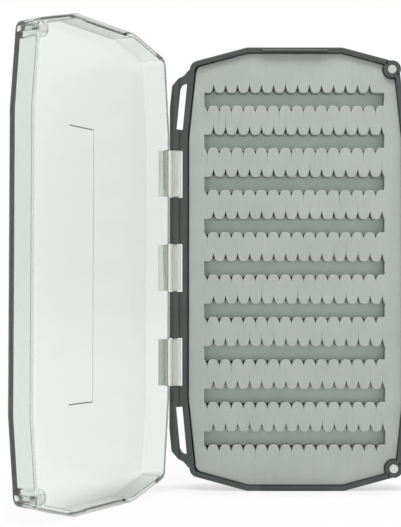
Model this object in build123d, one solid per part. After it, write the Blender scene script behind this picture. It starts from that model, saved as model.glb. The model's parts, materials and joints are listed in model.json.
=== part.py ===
"""Fly box: moulded tray with slit foam, clear lid on a pinned hinge, corner magnets.

Millimetres. +X is away from the hinge, +Y is towards the tray's back, +Z is up with the box standing on one end.
The lid is drawn closed and then turned open to its rest position.
"""

from build123d import *
import math
import os

# case outline, seen from the front, measured from the middle of the box
half_height = 94.4
flat_half = 20.4
side_x = 48.0
corner_inset = 3.4
corner_drop = 6.5
side_drop = 38.9
outline_round = 4.0
cavity_round = 2.0
mid_z = half_height
corner_x = side_x - corner_inset
corner_z = half_height - corner_drop
side_z = half_height - side_drop

# depth of the tray and the lid, measured from the plane where they meet
parting_y = -5.0
seam_half_gap = 0.15
tray_depth = 12.0
tray_wall = 2.2
tray_floor = 1.7
tray_back_round = 2.0
tray_rim_round = 0.5
lid_depth = 11.6
lid_side_lean = 7.3
lid_wall = 2.0
lid_panel = 2.4
lid_panel_round = 1.2
lid_rim_round = 0.3

# locating tabs on the tray's end rims, and the recesses for them in the lid
tab_length = 28.0
tab_thickness = 1.1
tab_height = 1.0
tab_from_end = 0.85
tab_round = 0.8
tab_gap = 0.15
tab_root = 0.4

# frame of the label field on the lid panel, a fine V groove
plaque_x = 2.55
plaque_width = 16.0
plaque_height = 108.0
groove_half = 0.22
hinge_groove_half = 0.42
groove_depth = 0.3

# corner magnets and their bosses
magnet_from_corner_x = 2.95
magnet_from_corner_z = 2.85
magnet_r = 2.0
magnet_length = 3.0
magnet_edge = 0.2
magnet_clearance = 0.05
boss_r = 3.75
boss_core_r = 1.7
boss_core_skin = 1.2
pin_hole_r = 0.42
pin_hole_depth = 3.0
pin_hole_offsets = [(-2.3, 2.7), (2.4, -2.1)]

# hinge
axis_from_side = 3.2
axis_setback = 0.5
rail_r = 2.25
rail_web_depth = 3.6
knuckle_r = 2.7
knuckle_length = 19.5
knuckle_pitch = 40.0
knuckle_end_gap = 0.4
knuckle_pocket_gap = 0.35
leg_depth = 4.7
leg_tip = 0.3
leg_outline = [(0.9, 3.1), (2.6, 2.1)]
root_depth = 1.1
root_cut_margin = 0.5
pin_r = 1.0
pin_running_gap = 0.05
pin_end_grip = 5.75
open_angle = 119.4

# foam
foam_gap = 0.15
foam_front = 1.8
foam_thickness = 5.0
backing_thickness = 2.9
boss_foam_gap = 0.2
slot_pitch = 18.08
slot_rows = 9
slot_half = 2.72
slot_left = -38.6
slot_right = 38.35
notch_pitch = 5.14
notch_half = 1.05
notch_count = 15
upper_notch_first = -34.7
upper_notch_depth = 3.0
lower_notch_first = -37.4
lower_notch_depth = 2.5

# rail outline and lanyard slot, upper half: x from the tray's side, z below the tray's end
rail_outline = [(-5.5, 27.0), (-4.4, 17.0), (-1.5, 13.5), (0.8, 12.1), (2.8, 9.7), (4.2, 10.4), (1.0, side_drop)]
slot_outline = [(-2.6, 35.5), (0.1, 35.5), (1.95, 15.7), (1.55, 15.2), (0.0, 16.0), (-0.9, 17.8)]

# values that follow
magnet_x = corner_x - magnet_from_corner_x
magnet_z = corner_z - magnet_from_corner_z
axis_x = -side_x - axis_from_side
axis_y = parting_y + axis_setback
pin_half_length = knuckle_pitch + knuckle_length / 2 + pin_end_grip
tray_rim_y = parting_y + seam_half_gap
tray_back_y = parting_y + tray_depth
tray_floor_y = tray_back_y - tray_floor
lid_rim_y = parting_y - seam_half_gap
lid_panel_y = parting_y - lid_depth
lid_inner_y = lid_panel_y + lid_panel
foam_front_y = parting_y + foam_front
foam_back_y = foam_front_y + foam_thickness
backing_back_y = foam_back_y + backing_thickness
tab_outer = half_height - tab_from_end
tab_inner = tab_outer - tab_thickness
lean = math.tan(math.radians(lid_side_lean))
pocket_reach = 4.0
edge_tolerance = 0.01


def prism(sketch, y_from, y_to):
    """Solid from a sketch in the front view, between two depths (y_from in front of y_to)."""
    return Pos(0, y_from, mid_z) * extrude(Plane.XZ * sketch, amount=y_from - y_to)


def leaning_prism(sketch, sign, depth):
    """Solid in front of the lid's rim from a sketch in the front view, leaning across the box as it rises."""
    face = Pos(0, lid_rim_y, mid_z) * (Plane.XZ * sketch)
    return extrude(face, amount=depth * math.hypot(1, lean), dir=(sign * lean, -1, 0))


def narrowing(sketch, depth):
    """Solid in front of the lid's rim whose two long sides lean inwards and whose ends are square."""
    return leaning_prism(sketch, 1, depth) & leaning_prism(sketch, -1, depth)


def polygon(points):
    return make_face(Polyline(*points, close=True))


def mirrored(points):
    """The lower half of an outline, from its upper half."""
    return [(x, -z) for x, z in reversed(points)]


def from_upper_left(offsets):
    """Points of the front view, from offsets to the tray's left side and its upper end."""
    return [(x - side_x, half_height - drop) for x, drop in offsets]


def case_outline(inset, round_r):
    quarter = [(flat_half, half_height), (corner_x, corner_z), (side_x, side_z)]
    right = quarter + mirrored(quarter)
    left = [(-x, -z) for x, z in right]
    sketch = polygon(right + left)
    if inset:
        sketch = offset(sketch, -inset, kind=Kind.INTERSECTION)
    return fillet(sketch.vertices(), round_r)


def magnet_spots():
    return [(magnet_x, magnet_z), (magnet_x, -magnet_z)]


def discs(radius):
    return [Pos(x, z) * Circle(radius) for x, z in magnet_spots()]


def upright_cylinder(x, y, radius, z_from, z_to):
    """Cylinder along Z between two heights measured from the middle of the box."""
    return Pos(x, y, mid_z + (z_from + z_to) / 2) * Cylinder(radius, z_to - z_from)


def block(x_from, x_to, y_from, y_to, z_from, z_to):
    """Block between limits, with its heights measured from the middle of the box."""
    centre = Pos((x_from + x_to) / 2, (y_from + y_to) / 2, mid_z + (z_from + z_to) / 2)
    return centre * Box(x_to - x_from, y_to - y_from, z_to - z_from)


def knuckle_heights():
    return [knuckle_pitch, 0.0, -knuckle_pitch]


def edges_at(solid, y):
    return solid.edges().filter_by_position(Axis.Y, y - edge_tolerance, y + edge_tolerance)


def rail():
    """Barrel of the hinge with its web and the two lanyard loops."""
    outline = from_upper_left(rail_outline)
    slot = from_upper_left(slot_outline)
    sketch = polygon(outline + mirrored(outline))
    sketch -= polygon(slot)
    sketch -= polygon(mirrored(slot))
    front = axis_y - rail_r
    back = parting_y + rail_web_depth
    barrel = upright_cylinder(axis_x, axis_y, rail_r, -half_height, half_height)
    web = block(axis_x, axis_x + side_x, tray_rim_y, back, -half_height, half_height)
    solid = prism(sketch, front, back) & (barrel + web)
    for z in knuckle_heights():
        reach = knuckle_length / 2 + knuckle_end_gap
        solid -= block(axis_x - pocket_reach, -side_x, front, back, z - reach, z + reach)
    return solid


def knuckle_pockets():
    reach = knuckle_length / 2 + knuckle_end_gap
    radius = knuckle_r + knuckle_pocket_gap
    return [upright_cylinder(axis_x, axis_y, radius, z - reach, z + reach) for z in knuckle_heights()]


def magnet_pocket(y_face, y_seat):
    front = min(y_face, y_seat)
    back = max(y_face, y_seat)
    return [prism(disc, front, back) for disc in discs(magnet_r + magnet_clearance)]


def locating_tabs():
    reach = tab_length / 2
    tabs = []
    for sign in (1, -1):
        z_low, z_high = sorted((sign * tab_inner, sign * tab_outer))
        tab = block(-reach, reach, tray_rim_y - tab_height, tray_rim_y + tab_root, z_low, z_high)
        outer = mid_z + sign * tab_outer
        edges = edges_at(tab, tray_rim_y - tab_height)
        edges = edges.filter_by_position(Axis.Z, outer - edge_tolerance, outer + edge_tolerance)
        tabs.append(fillet(edges, tab_round))
    return tabs


def tab_recesses():
    """Room for the tray's tabs on the inner side of the lid's end rims."""
    reach = tab_length / 2 + tab_gap
    inner = half_height - lid_wall - tab_gap
    depth = tab_height - 2 * seam_half_gap + tab_gap
    cuts = []
    for sign in (1, -1):
        z_low, z_high = sorted((sign * inner, sign * (tab_outer + tab_gap)))
        cuts.append(block(-reach, reach, lid_rim_y - depth, parting_y, z_low, z_high))
    return cuts


def pin_holes():
    holes = []
    for x, z in magnet_spots():
        for dx, dz in pin_hole_offsets:
            spot = Pos(x + dx, z + dz * (1 if z > 0 else -1)) * Circle(pin_hole_r)
            holes.append(prism(spot, parting_y, tray_rim_y + pin_hole_depth))
    return holes


def base_tray():
    solid = prism(case_outline(0, outline_round), tray_rim_y, tray_back_y)
    solid = fillet(edges_at(solid, tray_back_y), tray_back_round)
    solid = fillet(edges_at(solid, tray_rim_y), tray_rim_round)
    solid -= prism(case_outline(tray_wall, cavity_round), parting_y, tray_floor_y)
    for disc in discs(boss_r):
        boss = prism(disc, tray_rim_y, tray_back_y)
        boss = fillet(edges_at(boss, tray_back_y), tray_back_round)
        solid += boss
    solid += rail()
    for tab in locating_tabs():
        solid += tab
    cuts = magnet_pocket(parting_y, tray_rim_y + magnet_length)
    cuts += knuckle_pockets()
    cuts += pin_holes()
    cuts.append(upright_cylinder(axis_x, axis_y, pin_r, -pin_half_length, pin_half_length))
    for cut in cuts:
        solid -= cut
    return solid


def clip_root(z, margin):
    """The part of the lid's long side wall that a hinge clip takes the place of, wider by a margin on both faces."""
    root = Pos(-side_x + lid_wall / 2, z) * Rectangle(lid_wall + 2 * margin, knuckle_length)
    return leaning_prism(root, 1, root_depth)


def plaque_wedge(side):
    """Solid under the label field, drawn in or out (side -1 or 1) by the groove's half widths at the panel's face."""
    faces = []
    for y, change in ((lid_panel_y, side), (lid_panel_y + groove_depth, 0)):
        left = plaque_x - plaque_width / 2 - change * hinge_groove_half
        right = plaque_x + plaque_width / 2 + change * groove_half
        field = Rectangle(right - left, plaque_height + 2 * change * groove_half)
        faces.append(Pos((left + right) / 2, y, mid_z) * (Plane.XZ * field))
    return loft(faces)


def lid_shell():
    outline = case_outline(0, outline_round)
    outer = narrowing(outline, lid_rim_y - lid_panel_y)
    outer = fillet(edges_at(outer, lid_panel_y), lid_panel_round)
    solid = outer - narrowing(case_outline(lid_wall, cavity_round), lid_rim_y - lid_inner_y)
    for disc in discs(boss_r):
        solid += prism(disc, lid_panel_y, lid_rim_y) & outer
    solid = fillet(edges_at(solid, lid_rim_y), lid_rim_round)
    cuts = magnet_pocket(parting_y, lid_rim_y - magnet_length)
    cuts += [prism(disc, lid_panel_y + boss_core_skin, lid_rim_y) for disc in discs(boss_core_r)]
    cuts += tab_recesses()
    cuts += [clip_root(z, root_cut_margin) for z in knuckle_heights()]
    cuts.append(plaque_wedge(1) - plaque_wedge(-1))
    for cut in cuts:
        solid -= cut
    return solid


def clip_leg(z):
    """Gusset from the barrel to the lid's side wall, drawn in the hinge's cross-section."""
    leg_end_x = -side_x + leg_depth * lean
    points = [(axis_x, axis_y), (-side_x, lid_rim_y), (leg_end_x, lid_rim_y - leg_depth)]
    points.append((leg_end_x - leg_tip, lid_rim_y - leg_depth))
    points += [(-side_x - out, lid_rim_y - depth) for out, depth in leg_outline]
    section = Pos(0, 0, mid_z + z - knuckle_length / 2) * polygon(points)
    return extrude(section, amount=knuckle_length, dir=(0, 0, 1))


def hinge_clip(z):
    reach = knuckle_length / 2
    solid = upright_cylinder(axis_x, axis_y, knuckle_r, z - reach, z + reach)
    solid += clip_leg(z)
    solid += clip_root(z, 0)
    solid -= upright_cylinder(axis_x, axis_y, pin_r + pin_running_gap, z - reach, z + reach)
    return solid


def hinge_pin():
    return upright_cylinder(axis_x, axis_y, pin_r, -pin_half_length, pin_half_length)


def magnet(spot, y_from, y_to):
    disc = Pos(*spot) * Circle(magnet_r)
    solid = prism(disc, y_from, y_to)
    return chamfer(solid.edges().filter_by(GeomType.CIRCLE), magnet_edge)


def foam_outline():
    sketch = case_outline(tray_wall + foam_gap, cavity_round)
    for disc in discs(boss_r + boss_foam_gap):
        sketch -= disc
    return sketch


def notch_row(first, edge_z, tip_z, skip_last):
    """Points of one slot edge from left to right, with a notch between each pair of fingers."""
    points = []
    for k in range(notch_count - skip_last):
        x = first + k * notch_pitch
        points += [(x - notch_half, edge_z), (x, tip_z), (x + notch_half, edge_z)]
    return points


def comb_slot(z, skip_last):
    low = z - slot_half
    high = z + slot_half
    lower = notch_row(lower_notch_first, low, low - lower_notch_depth, 0)
    upper = notch_row(upper_notch_first, high, high + upper_notch_depth, skip_last)
    upper.reverse()
    return polygon([(slot_left, low)] + lower + [(slot_right, low), (slot_right, high)] + upper + [(slot_left, high)])


def slit_foam():
    sketch = foam_outline()
    top_row = (slot_rows - 1) // 2
    for row in range(-top_row, top_row + 1):
        sketch -= comb_slot(row * slot_pitch, 1 if row == top_row else 0)
    return prism(sketch, foam_front_y, foam_back_y)


def opened(solid):
    """The same solid turned about the hinge from closed to its rest position."""
    return Pos(axis_x, axis_y, 0) * Rot(0, 0, -open_angle) * Pos(-axis_x, -axis_y, 0) * solid


def main():
    upper, lower = magnet_spots()
    clip_names = ["hinge_clip_upper", "hinge_clip_middle", "hinge_clip_lower"]
    nodes = {
        "base_tray": base_tray(),
        "slit_foam": slit_foam(),
        "foam_backing": prism(foam_outline(), foam_back_y, backing_back_y),
        "foam_adhesive": prism(foam_outline(), backing_back_y, tray_floor_y),
        "hinge_pin": hinge_pin(),
        "base_magnet_upper": magnet(upper, tray_rim_y, tray_rim_y + magnet_length),
        "base_magnet_lower": magnet(lower, tray_rim_y, tray_rim_y + magnet_length),
        "lid_shell": opened(lid_shell()),
        "lid_magnet_upper": opened(magnet(upper, lid_rim_y - magnet_length, lid_rim_y)),
        "lid_magnet_lower": opened(magnet(lower, lid_rim_y - magnet_length, lid_rim_y)),
    }
    for name, z in zip(clip_names, knuckle_heights()):
        nodes[name] = opened(hinge_clip(z))
    os.makedirs("parts", exist_ok=True)
    for name, solid in nodes.items():
        export_step(solid, f"parts/{name}.step")


main()
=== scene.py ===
"""Fly box, dressed: a moulded tray with slit foam, a clear hinged lid and corner magnets.

The scene is in metres, in the CAD model's frame, and the sizes below are in millimetres. The tray, the lid,
the clips, the pin, the magnets and the adhesive keep their CAD shape and get their finish here. The two foam
sheets are modelled here: a die-cut sheet with rounded finger tips and knife slits, and its plain backing.
"""

import json
import math
import random
from collections import namedtuple

import bmesh
import bpy
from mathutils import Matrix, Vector


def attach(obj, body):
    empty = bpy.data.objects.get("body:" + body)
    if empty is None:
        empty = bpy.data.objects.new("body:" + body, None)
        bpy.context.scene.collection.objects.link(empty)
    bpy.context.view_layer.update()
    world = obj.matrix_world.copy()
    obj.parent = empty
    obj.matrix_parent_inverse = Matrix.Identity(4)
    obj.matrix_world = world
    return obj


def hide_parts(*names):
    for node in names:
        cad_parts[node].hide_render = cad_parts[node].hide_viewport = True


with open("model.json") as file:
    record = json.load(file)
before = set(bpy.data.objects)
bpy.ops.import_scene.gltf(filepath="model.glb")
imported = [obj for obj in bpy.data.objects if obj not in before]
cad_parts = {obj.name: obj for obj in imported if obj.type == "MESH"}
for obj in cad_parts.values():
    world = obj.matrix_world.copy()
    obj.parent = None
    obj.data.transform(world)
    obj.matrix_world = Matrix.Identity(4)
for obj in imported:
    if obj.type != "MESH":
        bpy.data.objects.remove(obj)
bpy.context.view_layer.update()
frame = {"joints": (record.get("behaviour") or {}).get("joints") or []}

MM = 0.001
hinge = frame["joints"][0]

# ---------------------------------------------------------------- sizes, in millimetres and degrees
# the hinge pin's axis at mid-height, how far the lid turns to shut, and the clips' barrels on the pin
HINGE_X, HINGE_Y, MID_Z = (place / MM for place in hinge["pos_m"])
OPEN_ANGLE = hinge["range_deg"][1]
BARREL_R = 2.7

# the plane where tray and lid meet, and the case's outline in that plane, from the case's middle
PARTING_Y = -5.0
CASE_HALF_HEIGHT = 94.4
CASE_FLAT_HALF = 20.4
CASE_CORNER_X = 44.6
CASE_CORNER_Z = 87.9
CASE_SIDE_X = 48.0
CASE_SIDE_Z = 55.5

# the foam sheets: depths are measured back from the parting plane, and the foam's edge on the hinge side lies
# further from the wall
FOAM_WALL_OFFSET = 2.35
FOAM_HINGE_SIDE_X = -25.4
FOAM_HINGE_GAP = 0.4
FOAM_CORNER_ROUND = 2.0
FOAM_CORNER_STEPS = 6
FOAM_FRONT = 1.8
FOAM_THICKNESS = 5.0
FOAM_EDGE_ROUND = 0.35
BACKING_THICKNESS = 2.9
BACKING_EDGE_ROUND = 0.1
EDGE_STEPS = 3

# the cuts that clear the magnets' bosses
MAGNET_X = 41.65
MAGNET_Z = 85.05
BOSS_CUT_R = 3.95
BOSS_CUT_STEPS = 14

# the slots across the foam
SLOT_ROWS = 9
SLOT_PITCH = 18.08
SLOT_HALF = 2.72
SLOT_LEFT = -38.6
SLOT_RIGHT = 38.35

# the notches and fingers along a slot's two long edges: the side of the slot they lie on, the first notch,
# how deep the notches are, how blunt the fingers are, and from what depth on the backing is cut too
Fingers = namedtuple("Fingers", "side first_notch depth bluntness backing_from")
UPPER_FINGERS = Fingers(side=1, first_notch=-34.7, depth=3.7, bluntness=4.6, backing_from=1.5)
LOWER_FINGERS = Fingers(side=-1, first_notch=-37.4, depth=2.8, bluntness=3.9, backing_from=0.8)
FINGER_PITCH = 5.14
FINGER_STEPS = 16
NOTCH_COUNT = 15
BACKING_NOTCH_STEPS = 4
ROUND_FADE_POWER = 4

# the knife slits that run on from the notches: half widths of shut and gaping ones, and lengths
SLIT_SEED = 7
SLIT_SHUT = 0.004
SLIT_OPEN = (0.03, 0.07)
SLIT_OPEN_SHARE = 0.3
SLIT_LENGTH = (2.5, 6.0)

# colours and clearness that change over a distance: painted shade on the foam's cut walls behind its face,
# painted shade on the lid's walls behind its rim, and the clips' clearness, between two shares, from the pin
# outwards
FOAM_PAINTED_SHADE_DEPTHS = (0.5, 2.0)
LID_WALL_SHADE_DEPTHS = (10.0, 9.0)
CLIP_CLEAR_REACH = (BARREL_R - 0.1, BARREL_R + 0.5)
CLIP_CLEARNESS = (0.5, 0.95)

# patterns drawn out along the axes where the scale is under 1
FOAM_STREAK_SCALE = (1.0, 0.1, 0.08)
STEEL_LINE_SCALE = (1.0, 1.0, 0.02)

# ---------------------------------------------------------------- colours, sRGB
# a pair holds the darkest and the palest patch of a colour that drifts
ABS_GREY = ("3e4441", "444a47")
FOAM_GREY = ("adb2ad", "b3b8b3")
FOAM_STREAK = ("a6aba6", "b9beb9")
# painted shade: the colour that the foam's cut walls take from a little behind its face
FOAM_PAINTED_SHADE = "7f8581"
BACKING_GREY = ("c6d0cb", "ccd6d1")
LID_CLEAR = "fbfffd"
LID_WALL_PAINTED_SHADE = "f2f6f3"
# painted shade: the colour of the lid's walls near the rim, darker than the clear panel
LID_BODY = "b8c2bc"
CLIP_MILK = "f8fbf4"
NICKEL = "dcdedb"
STEEL = "9c9c99"
TAPE_GREY = "7a7c7b"
PAPER = "f7f7f7"
WHITE = "ffffff"

# the noise levels at which a drift is darkest and palest, and the streaks' share of the foam's colour
DRIFT_STOPS = (0.35, 0.65)
FOAM_STREAK_SHARE = 0.15

# closed-cell foam: nearly no shine, and a faint bloom at grazing angles
MATT_FOAM = {
    "Roughness": 0.92,
    "IOR": 1.45,
    "Specular IOR Level": 0.25,
    "Sheen Weight": 0.08,
    "Sheen Roughness": 0.6,
}

# ---------------------------------------------------------------- stage, in metres and degrees
# the room's levels, where 1 is white: the light on things, and the darkest that is seen through clear plastic
# (glass) or mirrored (shine), in front of the box and low down, where the level rises to 1 over a span of the
# direction's Y (turn) or Z (rise)
WORLD_LIGHT = 0.64
GLASS_FRONT = 0.4
GLASS_LOW = 0.92
SHINE_FRONT = 0.75
ROOM_TURN = (-0.5, 0.1)
ROOM_RISE = (0.1, 0.27)

# the paper floor, which goes this far to each side, and the share of it that is plain white near the box: to
# the eye, mirrored (shine) and through clear plastic (glass). The rest takes the box's shadow, and the share
# rises to 1 over a reach of distances. The foot's distances are from the origin, with X shortened by the
# stretch.
FLOOR_HALF = 3.0
FLOOR_CENTRE = (-0.035, -0.03, 0.0)
FLOOR_EYE = 0.9
FLOOR_SHINE = 0.25
FLOOR_REACH = (0.07, 0.14)
FLOOR_GLASS = 0.1
FLOOR_GLASS_REACH = (0.04, 0.075)
FOOT_EYE = 0.6
FOOT_STRETCH = 0.3
FOOT_REACH = (0.015, 0.025)

# the key lamp, a softbox
KEY_PLACE = (-0.05, -0.45, 0.90)
KEY_AIM = (-0.02, 0.0, 0.094)
KEY_SIZE = (0.6, 0.3)
KEY_POWER = 4.9

# the camera: its place, its tilt upwards, its roll, and its lens by way of the render's pixels
CAMERA_PLACE = (-0.04024, -0.5214, 0.0805)
CAMERA_PITCH = 1.747
CAMERA_ROLL = -0.045
FOCAL_PIXELS = 1215.5
RENDER_HEIGHT = 527
SENSOR_MM = 36.0


# ---------------------------------------------------------------- materials
def linear(hex_colour):
    """sRGB hex to the linear RGBA that shader sockets take."""
    channels = [int(hex_colour[i:i + 2], 16) / 255 for i in (0, 2, 4)]
    toned = [c / 12.92 if c <= 0.04045 else ((c + 0.055) / 1.055) ** 2.4 for c in channels]
    return (*toned, 1.0)


def add_node(tree, kind, settings=None):
    """Adds a node with its attributes and its inputs, by identifier; an input gets a value or a socket."""
    node = tree.nodes.new(kind)
    inputs = {socket.identifier: socket for socket in node.inputs}
    for name, value in (settings or {}).items():
        if isinstance(value, bpy.types.NodeSocket):
            tree.links.new(value, inputs[name])
        elif name in inputs:
            inputs[name].default_value = value
        else:
            setattr(node, name, value)
    return node


def new_material(name):
    """An empty node material, its tree and its Object coordinates in metres."""
    material = bpy.data.materials.new(name)
    material.use_nodes = True
    tree = material.node_tree
    tree.nodes.clear()
    place = add_node(tree, "ShaderNodeTexCoord").outputs["Object"]
    return material, tree, place


def grain_bump(tree, place, grain_mm, height_mm, strength, detail=3.0):
    """Bump from noise whose grains are grain_mm across."""
    noise = add_node(
        tree,
        "ShaderNodeTexNoise",
        {"Vector": place, "Scale": 1 / (grain_mm * MM), "Detail": detail, "Roughness": 0.55},
    )
    bump = add_node(
        tree,
        "ShaderNodeBump",
        {"Height": noise.outputs["Fac"], "Strength": strength, "Distance": height_mm * MM},
    )
    return bump.outputs["Normal"]


def varied_colour(tree, place, colours, patch_mm):
    """Slow drift between two close colours, in patches patch_mm across."""
    noise = add_node(
        tree, "ShaderNodeTexNoise", {"Vector": place, "Scale": 1 / (patch_mm * MM), "Detail": 4.0}
    )
    ramp = add_node(tree, "ShaderNodeValToRGB", {"Fac": noise.outputs["Fac"]})
    for stop, position, colour in zip(ramp.color_ramp.elements, DRIFT_STOPS, colours):
        stop.position = position
        stop.color = linear(colour)
    return ramp.outputs["Color"]


def moulded_abs():
    """ABS, injection moulded in a lightly spark-eroded tool: dark grey with a soft, even sheen.

    The grain is drawn coarser than the real one, so that it shows.
    """
    material, tree, place = new_material("ABS moulded dark grey")
    settings = {
        "Base Color": varied_colour(tree, place, ABS_GREY, patch_mm=9.0),
        "Roughness": 0.42,
        "IOR": 1.53,
        "Normal": grain_bump(tree, place, grain_mm=0.25, height_mm=0.02, strength=0.35),
    }
    shader = add_node(tree, "ShaderNodeBsdfPrincipled", settings)
    add_node(tree, "ShaderNodeOutputMaterial", {"Surface": shader.outputs["BSDF"]})
    return material


def eva_foam():
    """EVA foam, skived and die cut: pale grey, matt and streaked along the fingers, with painted shade on the
    cut walls behind its face.
    """
    material, tree, place = new_material("EVA foam die cut")
    drift = varied_colour(tree, place, FOAM_GREY, patch_mm=14.0)
    along = add_node(tree, "ShaderNodeMapping", {"Vector": place, "Scale": FOAM_STREAK_SCALE})
    streak = varied_colour(tree, along.outputs["Vector"], FOAM_STREAK, patch_mm=1.6)
    face = add_node(
        tree,
        "ShaderNodeMix",
        {"data_type": "RGBA", "Factor_Float": FOAM_STREAK_SHARE, "A_Color": drift, "B_Color": streak},
    )
    # painted shade: the cut walls darken with depth behind the face, standing in for the shade in the slots
    # and notches
    depth = add_node(tree, "ShaderNodeSeparateXYZ", {"Vector": place}).outputs["Y"]
    start, end = ((PARTING_Y + FOAM_FRONT + behind) * MM for behind in FOAM_PAINTED_SHADE_DEPTHS)
    cut = add_node(tree, "ShaderNodeMapRange", {"Value": depth, "From Min": start, "From Max": end})
    shaded = add_node(
        tree,
        "ShaderNodeMix",
        {
            "data_type": "RGBA",
            "Factor_Float": cut.outputs["Result"],
            "A_Color": face.outputs["Result"],
            "B_Color": linear(FOAM_PAINTED_SHADE),
        },
    )
    settings = {
        **MATT_FOAM,
        "Base Color": shaded.outputs["Result"],
        "Normal": grain_bump(tree, place, grain_mm=0.35, height_mm=0.06, strength=0.5, detail=4.0),
    }
    shader = add_node(tree, "ShaderNodeBsdfPrincipled", settings)
    add_node(tree, "ShaderNodeOutputMaterial", {"Surface": shader.outputs["BSDF"]})
    return material


def backing_foam():
    """Plain EVA backing, skived: paler than the slit sheet, because the slots' floors lie in shade."""
    material, tree, place = new_material("EVA foam backing")
    settings = {
        **MATT_FOAM,
        "Base Color": varied_colour(tree, place, BACKING_GREY, patch_mm=14.0),
        "Normal": grain_bump(tree, place, grain_mm=0.35, height_mm=0.06, strength=0.5, detail=4.0),
    }
    shader = add_node(tree, "ShaderNodeBsdfPrincipled", settings)
    add_node(tree, "ShaderNodeOutputMaterial", {"Surface": shader.outputs["BSDF"]})
    return material


def rim_reach(outward):
    """How far the lid's rim plane lies from the origin, measured along the direction that the rim faces."""
    return max(vertex.co.dot(Vector(outward)) for vertex in bpy.data.objects["lid_shell"].data.vertices)


def clear_acrylic():
    """Clear acrylic, injection moulded: glassy, with a faint grey-green body that thick edges deepen, and
    painted shade on the walls near the rim.
    """
    material, tree, place = new_material("Acrylic moulded clear")
    outward = (math.sin(math.radians(OPEN_ANGLE)), math.cos(math.radians(OPEN_ANGLE)), 0.0)
    # painted shade: the walls within about 9 mm of the rim are coloured darker, standing in for the dim
    # surroundings seen in them
    height = add_node(
        tree, "ShaderNodeVectorMath", {"operation": "DOT_PRODUCT", "Vector": place, "Vector_001": outward}
    )
    start, end = (rim_reach(outward) - depth * MM for depth in LID_WALL_SHADE_DEPTHS)
    wall = add_node(
        tree, "ShaderNodeMapRange", {"Value": height.outputs["Value"], "From Min": start, "From Max": end}
    )
    clear_and_wall_shade = add_node(
        tree,
        "ShaderNodeMix",
        {
            "data_type": "RGBA",
            "Factor_Float": wall.outputs["Result"],
            "A_Color": linear(LID_CLEAR),
            "B_Color": linear(LID_WALL_PAINTED_SHADE),
        },
    )
    settings = {
        "Base Color": clear_and_wall_shade.outputs["Result"],
        "Roughness": 0.18,
        "IOR": 1.49,
        "Transmission Weight": 1.0,
        "Normal": grain_bump(tree, place, grain_mm=18.0, height_mm=0.05, strength=0.06, detail=1.0),
    }
    shader = add_node(tree, "ShaderNodeBsdfPrincipled", settings)
    body = add_node(tree, "ShaderNodeVolumeAbsorption", {"Color": linear(LID_BODY), "Density": 20.0})
    surface_and_body = {"Surface": shader.outputs["BSDF"], "Volume": body.outputs["Volume"]}
    add_node(tree, "ShaderNodeOutputMaterial", surface_and_body)
    return material


def milky_copolymer():
    """Natural copolymer for hinge clips, moulded: milky where the barrel is thick, clear in the thin root."""
    material, tree, place = new_material("Clip copolymer moulded natural")
    flat = add_node(tree, "ShaderNodeMapping", {"Vector": place, "Scale": (1.0, 1.0, 0.0)}).outputs["Vector"]
    axis = (HINGE_X * MM, HINGE_Y * MM, 0.0)
    spread = add_node(
        tree, "ShaderNodeVectorMath", {"operation": "DISTANCE", "Vector": flat, "Vector_001": axis}
    )
    start, end = (reach * MM for reach in CLIP_CLEAR_REACH)
    milky, clear = CLIP_CLEARNESS
    thin = add_node(
        tree,
        "ShaderNodeMapRange",
        {
            "Value": spread.outputs["Value"],
            "From Min": start,
            "From Max": end,
            "To Min": milky,
            "To Max": clear,
        },
    )
    settings = {
        "Base Color": linear(CLIP_MILK),
        "Roughness": 0.2,
        "IOR": 1.5,
        "Transmission Weight": thin.outputs["Result"],
        "Normal": grain_bump(tree, place, grain_mm=2.0, height_mm=0.03, strength=0.15),
    }
    shader = add_node(tree, "ShaderNodeBsdfPrincipled", settings)
    add_node(tree, "ShaderNodeOutputMaterial", {"Surface": shader.outputs["BSDF"]})
    return material


def plated_nickel():
    """Nickel plate on a pressed magnet: pale satin metal, with a fine grain drawn coarse enough to show."""
    material, tree, place = new_material("Nickel plate satin")
    settings = {
        "Base Color": linear(NICKEL),
        "Metallic": 1.0,
        "Roughness": 0.34,
        "Normal": grain_bump(tree, place, grain_mm=0.2, height_mm=0.01, strength=0.3),
    }
    shader = add_node(tree, "ShaderNodeBsdfPrincipled", settings)
    add_node(tree, "ShaderNodeOutputMaterial", {"Surface": shader.outputs["BSDF"]})
    return material


def drawn_steel():
    """Stainless wire, drawn: a cool grey shine, with fine lines along the pin drawn coarse enough to show."""
    material, tree, place = new_material("Stainless wire drawn")
    along = add_node(tree, "ShaderNodeMapping", {"Vector": place, "Scale": STEEL_LINE_SCALE})
    settings = {
        "Base Color": linear(STEEL),
        "Metallic": 1.0,
        "Roughness": 0.28,
        "Normal": grain_bump(tree, along.outputs["Vector"], grain_mm=0.15, height_mm=0.01, strength=0.3),
    }
    shader = add_node(tree, "ShaderNodeBsdfPrincipled", settings)
    add_node(tree, "ShaderNodeOutputMaterial", {"Surface": shader.outputs["BSDF"]})
    return material


def adhesive_tape():
    """Double-sided tape under the foam: grey film with a scrim grain, hidden in use."""
    material, tree, place = new_material("Adhesive film")
    settings = {
        "Base Color": linear(TAPE_GREY),
        "Roughness": 0.7,
        "Normal": grain_bump(tree, place, grain_mm=0.8, height_mm=0.05, strength=0.4),
    }
    shader = add_node(tree, "ShaderNodeBsdfPrincipled", settings)
    add_node(tree, "ShaderNodeOutputMaterial", {"Surface": shader.outputs["BSDF"]})
    return material


# ---------------------------------------------------------------- foam outlines, in mm from the case's middle
def arc(centre, radius, start, end, steps):
    """Points on an arc, angles in degrees."""
    turns = [math.radians(start + (end - start) * k / steps) for k in range(steps + 1)]
    return [(centre[0] + radius * math.cos(t), centre[1] + radius * math.sin(t)) for t in turns]


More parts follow.
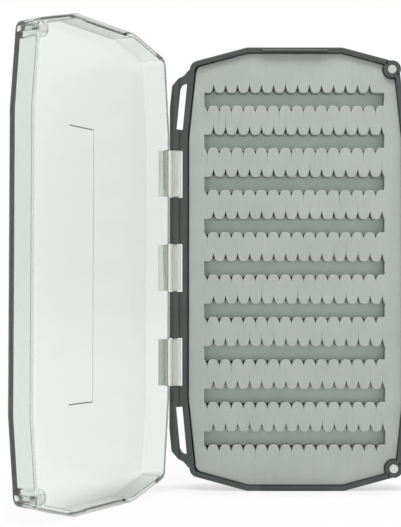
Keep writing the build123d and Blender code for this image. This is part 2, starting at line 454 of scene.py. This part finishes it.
def offset_corner(before, corner, after, inset):
    """A corner of a clockwise outline, moved inwards by inset from both of its sides."""
    first = (Vector(corner) - Vector(before)).normalized()
    second = (Vector(after) - Vector(corner)).normalized()
    inward_first = Vector((first.y, -first.x))
    inward_second = Vector((second.y, -second.x))
    half = (inward_first + inward_second) / (1 + inward_first.dot(inward_second))
    return Vector(corner) + half * inset


def case_corners():
    """Corner points of the case outline, three to a quarter, clockwise from the right end of the top side."""
    right = [
        (CASE_FLAT_HALF, CASE_HALF_HEIGHT),
        (CASE_CORNER_X, CASE_CORNER_Z),
        (CASE_SIDE_X, CASE_SIDE_Z),
    ]
    right += [(x, -z) for x, z in reversed(right)]
    return right + [(-x, -z) for x, z in right]


def foam_outline(inset):
    """The foam's edge, moved in from the case's wall, with rounded corners and the cuts round the bosses."""
    corners = case_corners()
    count = len(corners)
    moved = [
        offset_corner(corners[k - 1], corners[k], corners[(k + 1) % count], FOAM_WALL_OFFSET + inset)
        for k in range(count)
    ]
    points = []
    for k, corner in enumerate(moved):
        before, after = moved[k - 1], moved[(k + 1) % count]
        middle_of_quarter = k % 3 == 1
        if not middle_of_quarter:
            points.append(tuple(corner))
        elif corner.x > 0:
            points += boss_cut(before, corner, after, inset)
        else:
            points += rounded_corner(before, corner, after)
    return [(x + FOAM_HINGE_GAP * (x < FOAM_HINGE_SIDE_X), z) for x, z in points]


def rounded_corner(before, corner, after):
    """A sharp outline corner, rounded as a quadratic curve."""
    start = corner + (before - corner).normalized() * FOAM_CORNER_ROUND
    end = corner + (after - corner).normalized() * FOAM_CORNER_ROUND
    shares = [k / FOAM_CORNER_STEPS for k in range(FOAM_CORNER_STEPS + 1)]
    return [tuple(start * (1 - t) ** 2 + corner * 2 * t * (1 - t) + end * t ** 2) for t in shares]


def circle_crossing(corner, towards, centre, radius):
    """Where the side from corner towards the next corner leaves the circle."""
    along = (towards - corner).normalized()
    from_centre = corner - centre
    nearest = -from_centre.dot(along)
    half_chord = math.sqrt(nearest ** 2 - from_centre.dot(from_centre) + radius ** 2)
    return corner + along * (nearest + half_chord)


def boss_cut(before, corner, after, inset):
    """The concave bite that clears a magnet boss."""
    centre = Vector((MAGNET_X, math.copysign(MAGNET_Z, corner.y)))
    radius = BOSS_CUT_R + inset
    start = circle_crossing(corner, before, centre, radius)
    end = circle_crossing(corner, after, centre, radius)
    first = math.degrees(math.atan2(*(start - centre).yx))
    last = math.degrees(math.atan2(*(end - centre).yx))
    sweep = (last - first) % 360
    return arc(centre, radius, first, first + sweep, BOSS_CUT_STEPS)


def slot_rows():
    """The slots' numbers from the lowest to the uppermost, with 0 at mid-height."""
    return range(-(SLOT_ROWS // 2), SLOT_ROWS // 2 + 1)


def notch_count(row, fingers):
    """How many notches an edge has: the uppermost slot has one less above it."""
    return NOTCH_COUNT - (row == SLOT_ROWS // 2 and fingers is UPPER_FINGERS)


def finger_edge(fingers, notches, slits, inset):
    """One long edge of a slot from left to right: (x, how far it lies outside the slot's straight side)."""
    points = [(SLOT_LEFT - inset, inset)]
    for finger in range(notches + 1):
        left = fingers.first_notch + (finger - 1) * FINGER_PITCH
        for step in range(1, FINGER_STEPS):
            across = math.sin(math.pi / 2 * (2 * step / FINGER_STEPS - 1))
            x = left + (across + 1) / 2 * FINGER_PITCH
            if SLOT_LEFT < x < SLOT_RIGHT:
                straight = (finger == 0 and across < 0) or (finger == notches and across > 0)
                points.append((x, inset) if straight else finger_point(fingers, x, across, inset))
        if finger < notches:
            points += slit(left + FINGER_PITCH, fingers.depth, *slits[finger])
    points.append((SLOT_RIGHT + inset, inset))
    return points


def finger_point(fingers, x, across, inset):
    """A point of a finger's round tip, across from -1 to 1; the inset fades out towards the notches."""
    power = fingers.bluntness
    sink = fingers.depth * abs(across) ** power
    slope = 2 * fingers.depth * power * across * abs(across) ** (power - 2) / FINGER_PITCH
    shift = inset * (1 - across ** ROUND_FADE_POWER) / math.hypot(1, slope)
    return (x - shift * slope, sink + shift)


def slit(x, depth, half_width, length):
    """The knife slit that runs on from a notch."""
    return [(x - half_width, depth), (x, depth + length), (x + half_width, depth)]


def slot_outline(row, inset, slits):
    """A slot with its two rows of notches, clockwise; inset widens it where the edges are rounded."""
    z = row * SLOT_PITCH
    upper, lower = (
        finger_edge(fingers, notch_count(row, fingers), edge_slits, inset)
        for fingers, edge_slits in zip((UPPER_FINGERS, LOWER_FINGERS), slits)
    )
    points = [(x, z + SLOT_HALF + sink) for x, sink in upper]
    points += [(x, z - SLOT_HALF - sink) for x, sink in reversed(lower)]
    return points


def random_slits(rng):
    """Half-width and length of the slits along both edges of a slot; a few gape, the rest are shut."""
    def one():
        gapes = rng.random() < SLIT_OPEN_SHARE
        return (rng.uniform(*SLIT_OPEN) if gapes else SLIT_SHUT, rng.uniform(*SLIT_LENGTH))
    return [[one() for _ in range(NOTCH_COUNT)] for _ in range(2)]


def notch_hole(fingers, x, edge_z):
    """The knife's notch where it runs on into the backing: a curved triangle, its tip away from the slot."""
    rest = fingers.depth - fingers.backing_from
    sinks = [fingers.backing_from + rest * k / BACKING_NOTCH_STEPS for k in range(BACKING_NOTCH_STEPS)]
    widths = [FINGER_PITCH / 2 * (1 - (sink / fingers.depth) ** (1 / fingers.bluntness)) for sink in sinks]
    heights = [edge_z + fingers.side * sink for sink in sinks]
    left = [(x - width, z) for width, z in zip(widths, heights)]
    right = [(x + width, z) for width, z in zip(widths, heights)]
    return left + [(x, edge_z + fingers.side * fingers.depth)] + right[::-1]


def notch_holes():
    """All notch holes of the backing, row by row."""
    holes = []
    for row in slot_rows():
        for fingers in (UPPER_FINGERS, LOWER_FINGERS):
            edge_z = row * SLOT_PITCH + fingers.side * SLOT_HALF
            for k in range(notch_count(row, fingers)):
                holes.append(notch_hole(fingers, fingers.first_notch + k * FINGER_PITCH, edge_z))
    return holes


# ---------------------------------------------------------------- meshes
def ring(bm, points, y):
    """A closed loop of edges, y millimetres behind the parting plane."""
    verts = [bm.verts.new((x * MM, (PARTING_Y + y) * MM, (MID_Z + z) * MM)) for x, z in points]
    return [bm.edges.new((verts[k - 1], verts[k])) for k in range(len(verts))]


def cut_sheet(name, contours, front, back, edge_round):
    """A foam sheet: outer edge and cuts as stacked rings, rounded at the front, closed by two flat faces."""
    bm = bmesh.new()
    levels = []
    for k in range(EDGE_STEPS + 1):
        turn = math.pi / 2 * k / EDGE_STEPS
        levels.append((edge_round * (1 - math.sin(turn)), front + edge_round * (1 - math.cos(turn))))
    levels.append((0.0, back))
    first, last = [], []
    for contour in contours:
        rings = [ring(bm, contour(inset), y) for inset, y in levels]
        for near, far in zip(rings, rings[1:]):
            for wall in bmesh.ops.bridge_loops(bm, edges=near + far)["faces"]:
                wall.smooth = True
        first += rings[0]
        last += rings[-1]
    for rim in (first, last):
        for flat in bmesh.ops.triangle_fill(bm, edges=rim, use_beauty=True)["geom"]:
            flat.smooth = False
    bmesh.ops.recalc_face_normals(bm, faces=bm.faces)
    return mesh_object(name, bm)


def mesh_object(name, bm):
    """An object in the scene from a finished bmesh."""
    mesh = bpy.data.meshes.new(name)
    bm.to_mesh(mesh)
    bm.free()
    piece = bpy.data.objects.new(name, mesh)
    bpy.context.scene.collection.objects.link(piece)
    return piece


def foam_sheet():
    """The slit sheet, with the fingers along its nine slots."""
    rng = random.Random(SLIT_SEED)
    contours = [foam_outline]
    for row in slot_rows():
        slits = random_slits(rng)
        contours.append(lambda inset, row=row, slits=slits: slot_outline(row, inset, slits))
    back = FOAM_FRONT + FOAM_THICKNESS
    piece = cut_sheet("slit_foam_sheet", contours, FOAM_FRONT, back, FOAM_EDGE_ROUND)
    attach(piece, "tray")
    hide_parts("slit_foam")
    return piece


def backing_sheet():
    """The plain sheet behind the slit one, with the knife's notches run on into it."""
    front = FOAM_FRONT + FOAM_THICKNESS
    contours = [foam_outline] + [lambda inset, hole=hole: hole for hole in notch_holes()]
    piece = cut_sheet("foam_backing_sheet", contours, front, front + BACKING_THICKNESS, BACKING_EDGE_ROUND)
    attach(piece, "tray")
    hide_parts("foam_backing")
    return piece


def dress(material, *names):
    """Gives CAD nodes or new pieces one material."""
    for name in names:
        data = bpy.data.objects[name].data
        data.materials.clear()
        data.materials.append(material)


# ---------------------------------------------------------------- stage, light and camera
def by_ray(tree, lit, mirrored, through, seen):
    """One level for light on things, others for what is mirrored, seen through plastic or seen straight.

    A ray that clear plastic bends counts as mirrored and as through at once, so through comes later and wins.
    A path that has left a matt surface is light on things again, whatever it meets after that.
    """
    rays = add_node(tree, "ShaderNodeLightPath").outputs
    bounced = {"operation": "GREATER_THAN", "Value": rays["Diffuse Depth"], "Value_001": 0.5}
    choices = (
        (rays["Is Glossy Ray"], mirrored),
        (rays["Is Transmission Ray"], through),
        (add_node(tree, "ShaderNodeMath", bounced).outputs["Value"], lit),
        (rays["Is Camera Ray"], seen),
    )
    level = lit
    for flag, chosen in choices:
        mix = add_node(tree, "ShaderNodeMix", {"Factor_Float": flag, "A_Float": level, "B_Float": chosen})
        level = mix.outputs["Result"]
    return level


def rising_levels(tree, spans):
    """Levels that rise to 1, one for each (socket, lowest level, values between which it rises)."""
    levels = []
    for value, lowest, (start, end) in spans:
        settings = {"Value": value, "From Min": start, "From Max": end, "To Min": lowest}
        levels.append(add_node(tree, "ShaderNodeMapRange", settings).outputs["Result"])
    return levels


def floor():
    """White paper: shaded near the box, so that it keeps the shadow, and fading to pure white further out."""
    bm = bmesh.new()
    bmesh.ops.create_grid(bm, x_segments=1, y_segments=1, size=FLOOR_HALF)
    piece = mesh_object("studio_floor", bm)
    material, tree, place = new_material("Paper sweep white")
    paper = add_node(tree, "ShaderNodeBsdfDiffuse", {"Color": linear(PAPER)})
    glow = add_node(tree, "ShaderNodeEmission", {"Color": linear(WHITE), "Strength": 1.0})
    away = add_node(
        tree, "ShaderNodeVectorMath", {"operation": "DISTANCE", "Vector": place, "Vector_001": FLOOR_CENTRE}
    ).outputs["Value"]
    along = add_node(tree, "ShaderNodeMapping", {"Vector": place, "Scale": (FOOT_STRETCH, 1.0, 1.0)})
    beside = add_node(
        tree, "ShaderNodeVectorMath", {"operation": "LENGTH", "Vector": along.outputs["Vector"]}
    ).outputs["Value"]
    spans = (
        (away, FLOOR_SHINE, FLOOR_REACH),
        (away, FLOOR_GLASS, FLOOR_GLASS_REACH),
        (away, FLOOR_EYE, FLOOR_REACH),
        (beside, FOOT_EYE, FOOT_REACH),
    )
    mirrored, through, eye, foot = rising_levels(tree, spans)
    seen = add_node(tree, "ShaderNodeMath", {"operation": "MINIMUM", "Value": eye, "Value_001": foot})
    share = by_ray(tree, lit=0.0, mirrored=mirrored, through=through, seen=seen.outputs["Value"])
    mix = add_node(
        tree,
        "ShaderNodeMixShader",
        {"Fac": share, "Shader": paper.outputs["BSDF"], "Shader_001": glow.outputs["Emission"]},
    )
    add_node(tree, "ShaderNodeOutputMaterial", {"Surface": mix.outputs["Shader"]})
    piece.data.materials.append(material)


def surroundings():
    """White room: even light on the object, pure white to the eye, and greyer in front to glass and metal."""
    world = bpy.data.worlds.new("studio")
    bpy.context.scene.world = world
    world.use_nodes = True
    tree = world.node_tree
    tree.nodes.clear()
    direction = add_node(tree, "ShaderNodeTexCoord").outputs["Generated"]
    way = add_node(tree, "ShaderNodeSeparateXYZ", {"Vector": direction}).outputs
    spans = (
        (way["Y"], GLASS_FRONT, ROOM_TURN),
        (way["Z"], GLASS_LOW, ROOM_RISE),
        (way["Y"], SHINE_FRONT, ROOM_TURN),
    )
    ahead, above, mirrored = rising_levels(tree, spans)
    through = add_node(tree, "ShaderNodeMath", {"operation": "MINIMUM", "Value": ahead, "Value_001": above})
    level = by_ray(tree, lit=WORLD_LIGHT, mirrored=mirrored, through=through.outputs["Value"], seen=1.0)
    white = add_node(tree, "ShaderNodeBackground", {"Color": linear(WHITE), "Strength": level})
    add_node(tree, "ShaderNodeOutputWorld", {"Surface": white.outputs["Background"]})


def key_lamp():
    """A wide softbox above and in front."""
    light = bpy.data.lights.new("key", "AREA")
    light.shape = "RECTANGLE"
    light.size, light.size_y = KEY_SIZE
    light.energy = KEY_POWER
    lamp = bpy.data.objects.new("key", light)
    lamp.location = KEY_PLACE
    lamp.rotation_euler = (Vector(KEY_AIM) - Vector(KEY_PLACE)).to_track_quat("-Z", "Y").to_euler()
    bpy.context.scene.collection.objects.link(lamp)


def camera():
    """The camera in front, tipped a little up; its lens comes from a focal length in the render's pixels."""
    data = bpy.data.cameras.new("camera")
    data.sensor_width = SENSOR_MM
    data.lens = FOCAL_PIXELS / RENDER_HEIGHT * SENSOR_MM
    eye = bpy.data.objects.new("camera", data)
    eye.location = CAMERA_PLACE
    eye.rotation_euler = (math.radians(90 + CAMERA_PITCH), math.radians(CAMERA_ROLL), 0)
    bpy.context.scene.collection.objects.link(eye)
    bpy.context.scene.camera = eye


# ---------------------------------------------------------------- the scene
foam_sheet()
backing_sheet()

dress(moulded_abs(), "base_tray")
dress(eva_foam(), "slit_foam_sheet")
dress(backing_foam(), "foam_backing_sheet")
dress(adhesive_tape(), "foam_adhesive")
dress(clear_acrylic(), "lid_shell")
dress(milky_copolymer(), "hinge_clip_upper", "hinge_clip_middle", "hinge_clip_lower")
dress(plated_nickel(), "base_magnet_upper", "base_magnet_lower", "lid_magnet_upper", "lid_magnet_lower")
dress(drawn_steel(), "hinge_pin")

floor()
surroundings()
key_lamp()
camera()
bpy.context.scene.view_settings.view_transform = "Standard"
